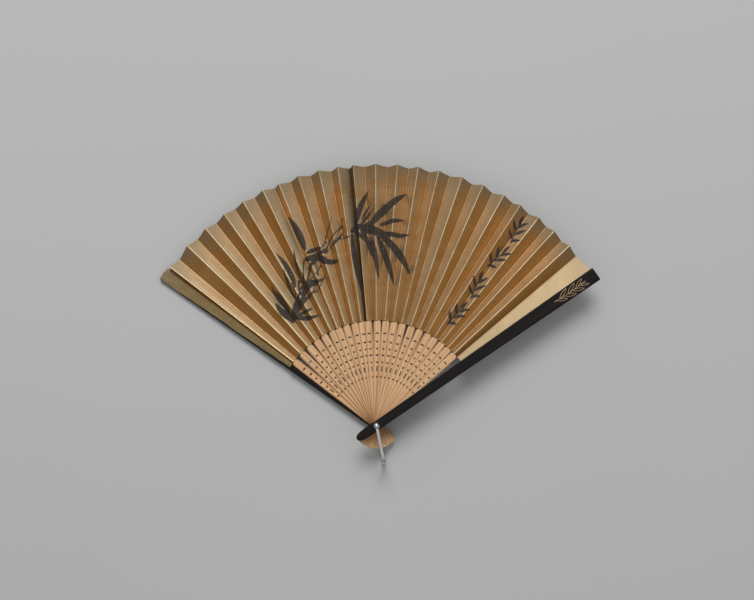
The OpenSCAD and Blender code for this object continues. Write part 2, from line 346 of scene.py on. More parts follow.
# light and deep are the paper's pale lit tone and deep shaded tone, painted light and shade, also
# mixed by the brushing's mottle
def gold_paper(name, painted, light=(0.56, 0.435, 0.265, 1), deep=(0.46, 0.225, 0.062, 1)):
    """Brushed metallic gold paper, paler where a pleat leans outward and deeper orange where
    it leans inward, as painted light and shade, with bright lines on its mountain folds,
    part wear and part painted highlight, browner valleys with painted shade and a painted
    highlight in each valley fold, a darker, duller rim and, on the face, black ink. Single
    pleats can be painted darker as shade and made rougher, or given a painted shadow."""
    made, n, shader = material(name)
    lay = lay_of(n)
    lines, clouds, specks = n.shared(brushing, lay)
    blend = n.math("ADD", n.math("MULTIPLY", clouds, 0.4), n.math("MULTIPLY", lines, 0.8))
    # Painted light and shade: each point's painted-light value, plus the brushing's mottle, mixes
    # the deep tone towards the pale one
    pale = n.math("ADD", n.ramp(blend, 0.42, 0.78, -0.28, 0.28), n.value_of("paleness"), True)
    color = n.mix(pale, deep, light)
    radius = n.add("ShaderNodeSeparateXYZ", {"Vector": lay}).outputs["Y"]
    # Darker and less metallic towards the rim, more so on the pleats painted as shaded
    near_rim = n.ramp(n.math("ADD", radius, n.math("MULTIPLY", clouds, 0.014)), 0.177, 0.199)
    tarnish = n.math("MULTIPLY", near_rim, n.ramp(n.value_of("paleness"), 0.2, 1.0, 0.75, 0.25))
    color = n.mix(tarnish, color, (0.20, 0.15, 0.09, 1))
    # Painted shade: browner within about 2 mm of a valley fold, unevenly
    low = n.ramp(n.math("ADD", n.value_of("valley"), n.math("MULTIPLY", clouds, 0.6)),
                 0.25, 1.9, 0.6, 0.0)
    color = n.mix(low, color, (0.26, 0.155, 0.065, 1))
    # Patches that break up the fold lines
    wear = n.ramp(clouds, 0.38, 0.64, 0.1, 0.75)
    # A pale line on each mountain fold, part worn gold and part painted highlight, and an orange
    # line in each valley fold, a painted highlight
    top = n.math("MULTIPLY", n.ramp(n.value_of("mountain"), 0.03, 0.22, 1.0, 0.0), wear)
    foot = n.math("MULTIPLY", n.ramp(n.value_of("valley"), 0.02, 0.16, 1.0, 0.0), wear)
    beside = n.math("SUBTRACT", n.value_of("mountain"), n.ramp(clouds, 0.3, 0.7, 0.75, 1.5))
    faint = n.ramp(n.math("ABSOLUTE", beside), 0.02, 0.16, 0.30, 0.0)
    color = n.mix(faint, color, (0.72, 0.55, 0.33, 1))
    color = n.mix(n.math("MULTIPLY", foot, 0.6), color, (0.66, 0.40, 0.18, 1))
    color = n.mix(top, color, (0.80, 0.66, 0.46, 1))
    color = n.mix(n.math("MULTIPLY", specks, 0.3), color, (0.80, 0.68, 0.48, 1))
    # A single pleat painted darker as shade, and made rougher
    dulled = n.value_of("dulled")
    color = n.mix(n.math("MULTIPLY", dulled, n.ramp(blend, 0.3, 0.8, 0.75, 0.35)), color,
                  (0.30, 0.225, 0.13, 1))
    rough = n.math("ADD", n.math("MULTIPLY", dulled, 0.1), n.math("MULTIPLY", lines, 0.24))
    rough = n.math("ADD", rough, 0.36)
    metal = n.math("SUBTRACT", 0.95, n.math("MULTIPLY", tarnish, 0.5))
    # Painted shadow: near-black brown over a pleat beside the shadowed fold
    color = n.mix(n.value_of("darkened"), color, (0.040, 0.026, 0.015, 1))
    if painted:
        edge = n.math("SUBTRACT", n.noise(lay, 1100.0, 3.0, 0.65), 0.5)
        ink = n.math("ADD", n.value_of("ink"), n.math("MULTIPLY", edge, 1.1))
        covered = n.ramp(ink, -0.10, 0.12)
        dry = n.ramp(n.noise(n.stretched(lay, (380, 1500, 1)), 1.0, 3.0, 0.7), 0.55, 0.68)
        flecks = n.ramp(n.noise(lay, 1100.0, 3.0, 0.75), 0.61, 0.68, 0.0, 0.6)
        gaps = n.math("MAXIMUM", n.math("MULTIPLY", dry, n.value_of("dryness")), flecks)
        covered = n.math("MULTIPLY", covered, n.math("SUBTRACT", 1.0, gaps))
        covered = n.math("MULTIPLY", covered, 0.97)
        color = n.mix(covered, color, (0.016, 0.013, 0.012, 1))
        metal = n.math("MULTIPLY", metal, n.math("SUBTRACT", 1.0, covered))
        rough = n.math("ADD", rough, n.math("MULTIPLY", covered, 0.15))
    height = n.math("ADD", n.math("MULTIPLY", lines, 0.7), clouds)
    finish_with(n, shader, color, rough, metal, height, strength=0.35, distance=0.0004)
    return made


def bamboo(name):
    """Scraped bamboo: light tan, with fibres along the stick, painted shade in the bores and
    painted shade along the long edges.
    """
    made, n, shader = material(name)
    lay = lay_of(n)
    fibres, streaks, pores = n.shared(grain, lay, 1.0)
    color = n.mix(n.ramp(streaks, 0.3, 0.7), (0.50, 0.27, 0.122, 1), (0.72, 0.465, 0.26, 1))
    color = n.mix(n.math("MULTIPLY", n.ramp(fibres, 0.5, 0.8), 0.35), color,
                  (0.50, 0.28, 0.13, 1))
    color = n.mix(n.math("MULTIPLY", pores, 0.35), color, (0.35, 0.18, 0.08, 1))
    # Painted shade along both long edges of the rib, between the ribs
    sides = n.ramp(n.math("ADD", n.value_of("side"), n.math("MULTIPLY", fibres, 0.1)), 0.66, 1.04)
    color = n.mix(n.math("MULTIPLY", sides, 0.75), color, (0.33, 0.15, 0.055, 1))
    # Painted shade at the rims of the openings
    color = n.mix(n.math("MULTIPLY", n.value_of("bored"), 0.9), color, (0.07, 0.03, 0.015, 1))
    finish_with(n, shader, color, n.math("ADD", 0.42, n.math("MULTIPLY", fibres, 0.2)), None,
                n.math("SUBTRACT", fibres, n.math("MULTIPLY", pores, 0.6)),
                strength=0.3, distance=0.0001, Specular_IOR_Level=0.35)
    return made


def lacquer(name):
    """Black-brown satin lacquer over wood, the grain just telegraphing through."""
    made, n, shader = material(name)
    lay = lay_of(n)
    fibres, streaks, pores = n.shared(grain, lay, 0.6)
    color = n.mix(n.ramp(streaks, 0.35, 0.75), (0.0060, 0.0048, 0.0046, 1),
                  (0.0150, 0.0115, 0.0105, 1))
    color = n.mix(n.math("MULTIPLY", pores, 0.3), color, (0.045, 0.034, 0.028, 1))
    finish_with(n, shader, color, n.math("ADD", 0.34, n.math("MULTIPLY", fibres, 0.22)), None,
                n.math("ADD", fibres, streaks), strength=0.25, distance=0.00015,
                Specular_IOR_Level=0.11)
    return made


def steel(name):
    """Plated steel, satin, with fine rubbing marks and a little dulling."""
    made, n, shader = material(name)
    place_on = n.add("ShaderNodeTexCoord").outputs["Object"]
    rub = n.noise(n.stretched(place_on, (900, 900, 4200)), 1.0, 3.0, 0.6)
    dull = n.noise(place_on, 260.0, 3.0, 0.6)
    color = n.mix(n.ramp(dull, 0.35, 0.7), (0.72, 0.71, 0.70, 1), (0.50, 0.49, 0.48, 1))
    rough = n.math("ADD", n.math("MULTIPLY", rub, 0.2), n.ramp(dull, 0.3, 0.7, 0.12, 0.30))
    finish_with(n, shader, color, rough, None, rub, strength=0.2, distance=0.00005, Metallic=1.0)
    return made


def foil(name):
    """Thin gold line-work pressed on the lacquer, rubbed through in places."""
    made, n, shader = material(name)
    place_on = n.add("ShaderNodeTexCoord").outputs["Object"]
    rub = n.noise(place_on, 1500.0, 3.0, 0.6)
    color = n.mix(n.ramp(rub, 0.45, 0.7), (0.52, 0.36, 0.19, 1), (0.16, 0.11, 0.07, 1))
    finish_with(n, shader, color, n.ramp(rub, 0.3, 0.7, 0.35, 0.6), None, rub,
                strength=0.2, distance=0.00003, Metallic=0.6)
    return made


paper_face = gold_paper("gold_paper_face", True)
paper_back = gold_paper("gold_paper_back", False, (0.50, 0.35, 0.18, 1), (0.38, 0.245, 0.11, 1))
# A darker copy of the gold paper: painted shade for the paper on the back guard
paper_olive = gold_paper("gold_paper_shaded", False, (0.25, 0.185, 0.09, 1),
                         (0.13, 0.09, 0.04, 1))
bamboo_plain = bamboo("scraped_bamboo")
black_lacquer = lacquer("black_lacquer")
plated_steel = steel("plated_steel")
gold_foil = foil("gold_line")

# ---------------------------------------------------------------- ink painting

# One brush leaf each: start x, y from the rivet, heading, length, width, bend, dryness
CENTRE_LEAVES = [
    (-17, 144, 70, 30, 4.4, 0.05, 0.2), (-6, 145, 42, 37, 6.0, 0.06, 0.3),
    (-13, 146, 52, 15, 2.2, 0.0, 0.4), (-16, 142, 30, 18, 1.8, 0.04, 0.6),
    (1, 146, 12, 19, 3.6, 0.05, 0.2), (1, 141, -6, 23, 3.9, -0.04, 0.2),
    (2, 139, -54, 37, 5.6, 0.07, 0.2), (-1, 139, -71, 40, 4.8, 0.03, 0.3),
    (-5, 138, -80, 33, 3.6, 0.02, 0.4), (-10, 139, -66, 27, 3.2, 0.0, 0.3),
    (-19, 141, -79, 49, 3.9, -0.03, 0.2), (-17, 141, -38, 18, 3.4, 0.05, 0.3),
    (-12, 144, -12, 20, 6.2, 0.0, 0.1), (-20, 141, 20, 14, 4.2, 0.1, 0.1),
    (-9, 147, -38, 18, 5.2, 0.0, 0.2), (-14, 146, -60, 17, 3.0, 0.02, 0.3),
    (-12, 150, 62, 14, 1.8, 0.0, 0.5),
]
BRANCH_LEAVES = [
    (-53, 127, 117, 29, 4.8, -0.05, 0.2), (-60, 100, 120, 30, 3.8, -0.07, 0.2),
    (-65, 84, 126, 22, 3.2, 0.06, 0.4), (-60, 76, 138, 20, 5.2, 0.08, 0.1),
    (-52, 125, 20, 12, 3.4, 0.1, 0.3), (-43, 121, -4, 15, 4.4, -0.08, 0.1),
    (-57, 99, 27, 16, 3.6, 0.06, 0.3), (-61, 79, 5, 19, 3.6, -0.1, 0.2),
    (-55, 104, 104, 27, 1.9, 0.05, 0.3), (-57, 83, 52, 22, 1.6, 0.06, 0.7),
    (-51, 113, 45, 12, 2.6, 0.1, 0.4), (-44, 97, 66, 20, 0.9, 0.0, 0.8),
    (-54, 121, 4, 17, 4.6, 0.03, 0.2), (-62, 76, 76, 22, 4.0, 0.02, 0.2),
    (-60, 92, 112, 24, 2.6, 0.04, 0.3), (-54, 101, 24, 16, 3.2, -0.06, 0.3),
    (-63, 77, 118, 24, 3.4, -0.04, 0.2), (-61, 77, 28, 15, 2.6, 0.08, 0.3),
    (-40, 128, 74, 28, 1.0, 0.03, 0.8), (-33, 131, 52, 14, 2.0, 0.0, 0.7),
]
# Stems: the same numbers, drawn with an even width
STEMS = [
    (-62, 77, 63, 27, 2.4, 0.04, 0.2), (-57, 84, 84, 24, 1.6, -0.04, 0.4),
    (-52, 101, 76, 22, 1.8, 0.03, 0.2), (-50, 122, 24, 13, 3.0, 0.03, 0.1),
    (-47, 119, -70, 10, 1.2, 0.1, 0.3), (-38, 126, 58, 23, 1.2, 0.1, 0.5),
    (-35, 129, 68, 24, 0.8, -0.05, 0.7), (-33, 133, 20, 16, 0.7, 0.06, 0.4),
    (-60, 78, 30, 14, 1.0, 0.1, 0.5), (-50, 92, 70, 16, 0.8, -0.06, 0.6),
    (-56, 96, 100, 9, 1.8, 0.1, 0.3), (-30, 136, 8, 12, 0.9, 0.0, 0.4),
    (-62, 76, 68, 26, 2.6, -0.05, 0.3), (-52, 100, 96, 20, 1.4, 0.06, 0.4),
    (-58, 86, 40, 18, 1.0, 0.1, 0.5), (-53, 104, 48, 17, 1.1, -0.08, 0.5),
    (-46, 118, 62, 18, 1.0, 0.1, 0.5), (-60, 82, 96, 22, 1.2, -0.06, 0.4),
]


def small_sprig(deg, radius, turn):
    """A short stem with slender leaves on alternate sides, as one row of numbers for the
    stem and one for each leaf, in the order of the lists above."""
    a, up = math.radians(deg), math.radians(deg + turn)
    x, y = radius * math.cos(a), radius * math.sin(a)

    def on_stem(far):
        return x + far * math.cos(up), y + far * math.sin(up)

    stem = [(*on_stem(-9), deg + turn, 15, 1.1, 0.04, 0.2)]
    leaves = [(*on_stem(far), deg + turn + side, length, 2.3, 0.07, 0.2)
              for far, side, length in ((-6, 48, 8), (-3, -42, 9), (0, 40, 9), (3, -38, 8),
                                        (5, 4, 8), (-8, -64, 6))]
    return stem, leaves


def stroke_line(start_x, start_y, heading, length, bend):
    """Points along a stroke's axis: a straight run that bows to its left by bend x length."""
    t = np.linspace(0, 1, 26)
    a = math.radians(heading)
    along, side = length * t, length * bend * 4 * t * (1 - t)
    return t, np.stack([
        start_x + along * math.cos(a) - side * math.sin(a),
        start_y + along * math.sin(a) + side * math.cos(a),
    ], axis=-1)


def half_widths(t, width, even):
    """Half the width along a stroke: a leaf swells early and runs out to a long point, a
    stem stays even and thickens at its two ends."""
    if even:
        return width / 2 * (0.8 + 0.5 * np.abs(2 * t - 1) ** 4)
    return width / 2 * (t ** 0.6 * (1 - t) ** 0.85) / (0.41 ** 0.6 * 0.59 ** 0.85)


def painted(x, y):
    """For plan points in millimetres, how far inside the nearest brush stroke each lies,
    negative outside, and how dry that stroke is."""
    ink = np.full(x.shape, -3.0)
    dryness = np.zeros(x.shape)
    strokes = [(row, False) for row in CENTRE_LEAVES + BRANCH_LEAVES]
    strokes += [(row, True) for row in STEMS]
    for radius, turn in ((174, 8), (150, -14), (124, 10), (99, -8)):
        stem, leaves = small_sprig(54.5, radius, turn)
        strokes += [(row, True) for row in stem] + [(row, False) for row in leaves]
    for (start_x, start_y, heading, length, width, bend, dry), even in strokes:
        t, line = stroke_line(start_x, start_y, heading, length, bend)
        low, high = line.min(0) - 4, line.max(0) + 4
        near = (x > low[0]) & (x < high[0]) & (y > low[1]) & (y < high[1])
        if not near.any():
            continue
        points = np.stack([x[near], y[near]], axis=-1)[:, None]
        step = np.diff(line, axis=0)
        share = ((points - line[:-1]) * step).sum(-1) / (step ** 2).sum(-1)
        share = np.clip(share, 0, 1)
        gap = np.linalg.norm(points - line[:-1] - share[..., None] * step, axis=-1)
        at = t[:-1] + share * np.diff(t)
        inside = half_widths(at, width, even) - gap
        best = inside.max(1)
        better = best > ink[near]
        ink[near] = np.where(better, best, ink[near])
        dryness[near] = np.where(better & (best > -0.4), dry, dryness[near])
    return ink, dryness


# ---------------------------------------------------------------- leaf

rng = np.random.default_rng(7)
# Rim radius at every mountain and valley fold, a little uneven
mountain_rim = 191.2 + rng.uniform(-0.35, 0.35, RIBS + 1)
valley_rim = 189.9 + rng.uniform(-0.35, 0.35, RIBS + 1)

ROWS = 172
radius_share = np.linspace(0, 1, ROWS)[:, None]
FOLD_STEPS = np.array([0, 0.33, 0.67])
MIDDLE = 13


def fold_round(share, q):
    """0 to 1 across a pleat: a straight slope with a rounded fold q wide at each end."""
    s = np.minimum(share, 1 - share)
    half = np.where(s < q, s * s / (2 * q), s - q / 2) / (1 - q)
    return np.where(share < 0.5, half, 1 - half)


def pleat(left, right, left_rim, right_rim, glued):
    """A pleat between two fold lines, each (direction, height at the rivet, slope).

    Rows run outward from the leaf's inner edge to its rim, columns from the left fold to
    the right one. Height runs from one fold line to the other along fold_round(). The
    sheet's thickness is the paper's, plus the rib's tongue under the middle of a glued one.
    Returns top and bottom points, the share across, the width at each radius, and how pale
    the paper is painted, which goes by how much it leans outward: painted light where it
    faces the key light's side, painted shade where it faces away.
    """
    radius = LEAF_IN + radius_share * (LEAF_OUT - LEAF_IN)
    width = np.radians(left[0] - right[0]) * radius
    q = np.clip(FOLD_HALF / width, 0.02, 0.42)
    middle = q + (1 - 2 * q) * np.linspace(0, 1, MIDDLE)
    share = np.concatenate([q * FOLD_STEPS, middle, 1 - q * FOLD_STEPS[::-1]], axis=1)
    rim = left_rim + (right_rim - left_rim) * share - 0.25 * np.sin(math.pi * share)
    r = LEAF_IN + radius_share * (rim - LEAF_IN)
    angle = np.radians(left[0] + (right[0] - left[0]) * share)
    z_left, z_right = left[1] + left[2] * r, right[1] + right[2] * r
    z = z_left + (z_right - z_left) * fold_round(share, q)
    middle_surface = np.stack([r * np.cos(angle), r * np.sin(angle), z], axis=-1)
    across = np.gradient(middle_surface, axis=1)
    outward = np.gradient(middle_surface, axis=0)
    normal = np.cross(across, outward)
    normal /= np.linalg.norm(normal, axis=-1, keepdims=True)
    half_t = np.full(share.shape, PAPER_T / 2)
    if glued:
        off = np.abs(share - 0.5) * width
        edge = np.minimum(TONGUE_HALF, 0.3 * width)
        bulge = 1 - smooth(edge, edge + np.minimum(0.9, 0.17 * width), off)
        half_t += TONGUE_T / 2 * bulge * (1 - smooth(TONGUE_END - 1, TONGUE_END + 1.5, r))
    lift = normal * half_t[..., None]
    # Painted light: paler where the paper leans towards +y, the key light's side, deeper orange as
    # painted shade where it leans away
    paleness = smooth(-0.30, 0.30, normal[..., 1])
    return middle_surface + lift, middle_surface - lift, share, width, paleness


def paper_piece(name, left, right, left_rim, right_rim, glued, dulled=0.0, darkened=0.0):
    """One pleat as a closed sheet, painted above and plain below and at its edges. A painted
    shadow covers a free pleat, and in a glued one it fades out from the valley fold."""
    top, bottom, share, width, paleness = pleat(left, right, left_rim, right_rim, glued)
    first, second = (share * width).ravel(), ((1 - share) * width).ravel()
    mountain, valley = (first, second) if glued else (second, first)
    dark = darkened * (1 - smooth(0.2, 1.5, valley) if glued else 0 * valley + 1)
    flat_top, flat_bottom = top.reshape(-1, 3), bottom.reshape(-1, 3)
    points, faces = shell(flat_top, flat_bottom, grid_quads(*share.shape))
    ink, dryness = painted(flat_top[:, 0], flat_top[:, 1])
    radius = np.hypot(points[:, 0], points[:, 1])
    angle = np.arctan2(points[:, 1], points[:, 0])
    uv = MM * np.column_stack([-angle * MID_RADIUS, radius])
    below = np.arange(len(faces)) >= (share.shape[0] - 1) * (share.shape[1] - 1)
    obj = piece(name, MM * points, faces, [paper_face, paper_back], "gold_paper", uv=uv,
                face_material=below, sharp=50, mountain=np.tile(mountain, 2),
                valley=np.tile(valley, 2), paleness=np.tile(paleness.ravel(), 2),
                dulled=np.full(len(points), dulled), darkened=np.tile(dark, 2),
                ink=np.tile(ink, 2), dryness=np.tile(dryness, 2))
    return obj, np.tile(share.ravel(), 2)


bed_z0 = back_high - LEAF_STEP + END_PAPER_T + TAPER * STEP_AT
top_z0 = front_low + LEAF_STEP - END_PAPER_T - TAPER * STEP_AT
mountains = [(rib_deg[k] + FOLD_LEAD, rib_z[k], FOLD_SLOPE) for k in range(RIBS)]
valleys = [(rib_deg[k] + FOLD_LEAD - PLEAT_DEG, rib_z[k], -FOLD_SLOPE) for k in range(RIBS)]
mountains.append((FRONT_DEG + GUARD_FOLD_DEG, top_z0, TAPER))
valleys.insert(0, (BACK_DEG - GUARD_FOLD_DEG, bed_z0, -TAPER))

# The pleats on both sides of the valley after this rib get a painted shadow
DARK_FOLD = 10

for i in numbers:
    sheet, _ = paper_piece(f"pleat_on_rib_{i:02d}", mountains[i - 1], valleys[i],
                           mountain_rim[i - 1], valley_rim[i], True,
                           darkened=0.85 if i == DARK_FOLD else 0.0)
    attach(sheet, f"rib_{i:02d}")
    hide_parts(f"glued_pleat_{i:02d}")

for i in range(RIBS + 1):
    left, right = valleys[i], mountains[i]
    sheet, turn_share = paper_piece(f"pleat_between_{i + 1:02d}", left, right,
                                    valley_rim[i], mountain_rim[i], False,
                                    # The last pleat is painted darker as shade, and made rougher
                                    dulled=1.0 if i == RIBS else 0.0,
                                    # Painted shadow on the free pleat beside the shadowed fold
                                    darkened=0.8 if i == DARK_FOLD else 0.0)
    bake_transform(sheet)
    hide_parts("free_pleats")


# ---------------------------------------------------------------- papers on the guards

def guard_half_width(y):
    """Half a guard's width: slim at the rivet, wider to the leaf and widest at the tip."""
    return np.interp(y, GUARD_AT, GUARD_HALF)


def end_paper(name, deg, z, flip, fold_side, body, node, mat, seed):
    """The paper glued on a guard's bed: rows outward, columns across from its uneven edge
    to the fold line, wrinkled by a few seeded ripples that die out at the fold."""
    rows, cols = 150, 12
    s = np.linspace(0, 1, cols)[None]
    end = GUARD_TIP - 0.4
    y = LEAF_IN + np.linspace(0, 1, rows)[:, None] * (end - LEAF_IN) + 0 * s
    inset = 1.8 - 1.3 * (y - LEAF_IN) / (LEAF_OUT - LEAF_IN)
    edge = -(guard_half_width(y) - inset - 0.22 * wander(y, seed, 60, 9))
    fold = y * math.tan(math.radians(GUARD_FOLD_DEG))
    fold = fold + (guard_half_width(y) - 0.1 - fold) * smooth(LEAF_OUT - 0.8, LEAF_OUT, y)
    x = fold_side * (edge + (fold - edge) * s)
    y = y + 0.5 * wander(x, seed + 1, 14, 3) * (y - LEAF_IN) / (LEAF_OUT - LEAF_IN)
    ripple = 0.5 + 0.5 * wander(y + 0.6 * x, seed + 2, 46, 7) * np.sin(1.3 * x + 0.11 * y)
    bed = bed_height(y)
    top = np.stack([x, y, bed + END_PAPER_T + 0.07 * ripple * (1 - s ** 3)], axis=-1)
    bottom = np.stack([x, y, bed], axis=-1)
    quads = grid_quads(rows, cols)
    points, faces = shell(top.reshape(-1, 3), bottom.reshape(-1, 3), quads)
    turn = -math.radians(deg)
    uv = MM * np.column_stack([turn * MID_RADIUS + points[:, 0], points[:, 1]])
    from_fold = np.tile((np.abs(fold - edge) * (1 - s)).ravel(), 2)
    placed = place(points, deg, z, flip)
    # The valley values darken the paper towards its fold as painted shade
    obj = piece(name, placed, turned_out(placed, faces), [mat], "gold_paper",
                uv=uv, sharp=50, mountain=0 * from_fold + 9, valley=0.6 * from_fold,
                paleness=0 * from_fold + 0.5)
    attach(obj, body)
    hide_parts(node)


# The back guard's paper is painted in shade
end_paper("paper_on_back_guard", BACK_DEG, back_low, False, 1, "back_guard",
          "back_end_paper", paper_olive, 21)
end_paper("paper_on_front_guard", FRONT_DEG, front_high, True, -1, "front_guard",
          "front_end_paper", paper_back, 31)

# ---------------------------------------------------------------- ribs

RIB_T, HEAD_Y, HEAD_R, SHOULDER_Y, CORNER = 0.55, -7.0, 16.6, 70.3, 1.7
HEAD_HALF, WAIST_HALF, SHOULDER_HALF = 2.4, 2.1, 2.75
RIB_TOP = LEAF_IN - 0.2
# Columns across a rib, and how far the surface falls at each to round its long edges
COLUMNS = np.array([-1, -0.95, -0.8, -0.55, -0.28, 0, 0.28, 0.55, 0.8, 0.95, 1])
EDGE_DROP = np.array([0.20, 0.10, 0.05, 0.02, 0, 0, 0, 0.02, 0.05, 0.10, 0.20])
# The arch's two arcs, and how far below its middle each one's centre lies
ARCH_R, ARCH_UNDER_R, ARCH_DROP, ARCH_UNDER_DROP = 1.75, 1.9, 1.15, 2.2


def rib_half_width(y):
    """Half a rib's width: an elliptical head, a slim waist and a round-cornered shoulder."""
    body = np.interp(y, [HEAD_Y, 0, SHOULDER_Y], [HEAD_HALF, WAIST_HALF, SHOULDER_HALF])
    head = HEAD_HALF * np.sqrt(np.clip(1 - ((y - HEAD_Y) / (HEAD_R + HEAD_Y)) ** 2, 0, 1))
    over = np.clip(y - (RIB_TOP - CORNER), 0, CORNER)
    shoulder = SHOULDER_HALF - CORNER + np.sqrt(CORNER ** 2 - over ** 2)
    return np.where(y < HEAD_Y, head, np.minimum(body, shoulder))


def slot_shape(half_w, half_h):
    """A rectangle: the cell's square stretched to the two half sizes."""
    return lambda u, v: (half_w * u, half_h * v)


def round_shape(radius):
    """A circle: each direction of the cell's square taken at one radius."""
    return lambda u, v: (radius * u / np.hypot(u, v), radius * v / np.hypot(u, v))


def arch_shape(half_w):
    """A short bar between two arcs, bowed outward: v runs from the lower arc to the upper."""
    def shape(u, v):
        x = half_w * u
        outer = np.sqrt(ARCH_R ** 2 - x ** 2) - ARCH_DROP
        inner = np.sqrt(ARCH_UNDER_R ** 2 - x ** 2) - ARCH_UNDER_DROP
        return x, (outer + inner) / 2 + v * (outer - inner) / 2
    return shape


# Openings along a rib: middle, half the length of the cell around it, and its shape
OPENINGS = [
    (0.0, 1.75, round_shape(1.35)),
    (35.3, 1.2, round_shape(0.62)),
    (41.15, 2.4, slot_shape(0.3, 1.85)),
    (45.9, 1.2, round_shape(0.62)),
    (51.1, 1.1, slot_shape(0.9, 0.5)),
    (55.8, 1.2, round_shape(0.62)),
    (60.9, 1.1, slot_shape(0.9, 0.5)),
    (67.0, 1.7, arch_shape(1.1)),
]


def blade():
    """A rib's blade in plan, as quads: plain bands of rows, and around each opening rings
    that run from its outline to the sides of its cell.

    Returns its points, three values for each (the drop that lowers the surface along the
    long edges and around the openings, the share of the way from the middle to a long edge,
    and 1 at the rim of an opening), and its quads."""
    points, drops, sides, bored, quads, start = [], [], [], [], [], 0

    def add_band(stations):
        """Plain rows at the stations, each as wide as the rib there."""
        nonlocal start
        y = np.repeat(stations, len(COLUMNS))
        x = np.tile(COLUMNS, len(stations)) * rib_half_width(y)
        points.append(np.column_stack([x, y]))
        drops.append(np.tile(EDGE_DROP, len(stations)))
        sides.append(np.tile(np.abs(COLUMNS), len(stations)))
        bored.append(0 * x)
        quads.append(grid_quads(len(stations), len(COLUMNS)) + start)
        start += len(x)

    side = np.linspace(-1, 1, 9)[1:-1]
    u = np.concatenate([COLUMNS, 0 * side + 1, COLUMNS[::-1], 0 * side - 1])
    v = np.concatenate([0 * COLUMNS - 1, side, 0 * COLUMNS + 1, side[::-1]])
    edge = np.concatenate([EDGE_DROP, 0 * side + EDGE_DROP[0], EDGE_DROP, 0 * side + EDGE_DROP[0]])

    def add_cell(middle, half, shape):
        """Four rings, straight lines apart, from an opening's outline to its cell's sides."""
        nonlocal start
        outer_y = middle + half * v
        outer_x = u * rib_half_width(outer_y)
        inner_x, inner_y = shape(u, v)
        rings = []
        for share in (0, 0.12, 0.5, 1):
            x = inner_x + (outer_x - inner_x) * share
            y = middle + inner_y + (outer_y - middle - inner_y) * share
            rings.append(np.column_stack([x, y]))
            drops.append(edge * share + (0.07 if share == 0 else 0))
            sides.append(np.abs(x / rib_half_width(y)))
            bored.append(0 * x + (1 if share == 0 else 0))
        points.extend(rings)
        count = len(u)
        i, j = np.meshgrid(np.arange(3), np.arange(count), indexing="ij")
        k = (j + 1) % count
        ring_quads = np.stack([i * count + j, (i + 1) * count + j, (i + 1) * count + k,
                               i * count + k], axis=-1).reshape(-1, 4)
        quads.append(ring_quads + start)
        start += 4 * count

    head = HEAD_Y - (HEAD_R + HEAD_Y) * np.sin(np.radians([88, 80, 70, 58, 45, 32, 20, 10, 0]))
    at = list(head)
    for middle, half, shape in OPENINGS:
        low = middle - half
        steps = max(2, int(math.ceil((low - at[-1]) / 3.5)) + 1)
        at += list(np.linspace(at[-1], low, steps))[1:]
        add_band(np.array(at))
        add_cell(middle, half, shape)
        at = [middle + half]
    corner = RIB_TOP - CORNER + CORNER * np.sin(np.radians([0, 20, 40, 60, 75, 90]))
    add_band(np.concatenate([at, [SHOULDER_Y, 72.5], corner]))
    points = np.concatenate(points)
    values = np.column_stack([np.concatenate(part) for part in (drops, sides, bored)])
    quads = np.concatenate(quads)
    # Points that two bands share become one
    key = np.round(points * 2000).astype(np.int64)
    _, first, back = np.unique(key, axis=0, return_index=True, return_inverse=True)
    return points[first], values[first].T, back.reshape(-1)[quads]


def tongue():
    """The rib's thin tongue inside its pleat, tilted with it. It starts a hair past the
    blade's end, so that it clears the next rib in the closed fan."""
    y = np.linspace(LEAF_IN - 0.19, TONGUE_END, 12)[:, None]
    x = np.array([[-TONGUE_HALF, 0, TONGUE_HALF]]) + 0 * y
    tilt, lag = math.radians(PLEAT_TILT), math.radians(FOLD_LEAD - PLEAT_DEG / 2)
    flat = [np.stack([x * math.cos(tilt) + h * math.sin(tilt), y + 0 * x,
                      h * math.cos(tilt) - x * math.sin(tilt)], axis=-1)
            for h in (TONGUE_T / 2 - 0.02, 0.02 - TONGUE_T / 2)]
    turned = [np.stack([p[..., 0] * math.cos(lag) - p[..., 1] * math.sin(lag),
                        p[..., 0] * math.sin(lag) + p[..., 1] * math.cos(lag),
                        p[..., 2]], axis=-1).reshape(-1, 3) for p in flat]
    return shell(turned[0], turned[1], grid_quads(12, 3))


plan, (drop, side_share, in_bore), blade_quads = blade()
blade_top = np.column_stack([plan, RIB_T / 2 - drop])
blade_bottom = np.column_stack([plan, drop - RIB_T / 2])
tongue_part = tongue()
rib_points, rib_faces = joined([shell(blade_top, blade_bottom, blade_quads), tongue_part])
plain = np.zeros(len(tongue_part[0]))
rib_side = np.concatenate([side_share, side_share, plain])
rib_bored = np.concatenate([in_bore, in_bore, plain])

for i in numbers:
    uv = MM * np.column_stack([rib_points[:, 0] + rib_points[:, 2] + 37 * i,
                               rib_points[:, 1] + 61 * i])
    obj = piece(f"pierced_rib_{i:02d}", place(rib_points, rib_deg[i - 1], rib_z[i - 1]),
                rib_faces, [bamboo_plain], "bamboo", uv=uv, sharp=50, side=rib_side,
                bored=rib_bored)
    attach(obj, f"rib_{i:02d}")
    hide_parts(f"rib_{i:02d}")

# ---------------------------------------------------------------- guards

GUARD_HEAD_Y, TIP_R, CROWN = -6.0, 0.9, 0.10


def section():
    """A rounded rectangle's outline, as which side each point is on and its place on the
    corner's arc."""
    arc = np.radians(np.linspace(0, 90, 6))
    sx, sz, cx, cz = [], [], [], []
    across = np.linspace(1, -1, 9)[1:-1]
    for quarter, (side_x, side_z) in enumerate(((1, 1), (-1, 1), (-1, -1), (1, -1))):
        a = arc + quarter * math.pi / 2
        sx += [side_x] * len(arc)
        sz += [side_z] * len(arc)
        cx += list(np.cos(a))
        cz += list(np.sin(a))
        if quarter in (0, 2):
            sx += list(across * side_x)
            sz += [side_z] * len(across)
            cx += [0] * len(across)
            cz += [side_z] * len(across)
    return (np.array(part, float)[None] for part in (sx, sz, cx, cz))


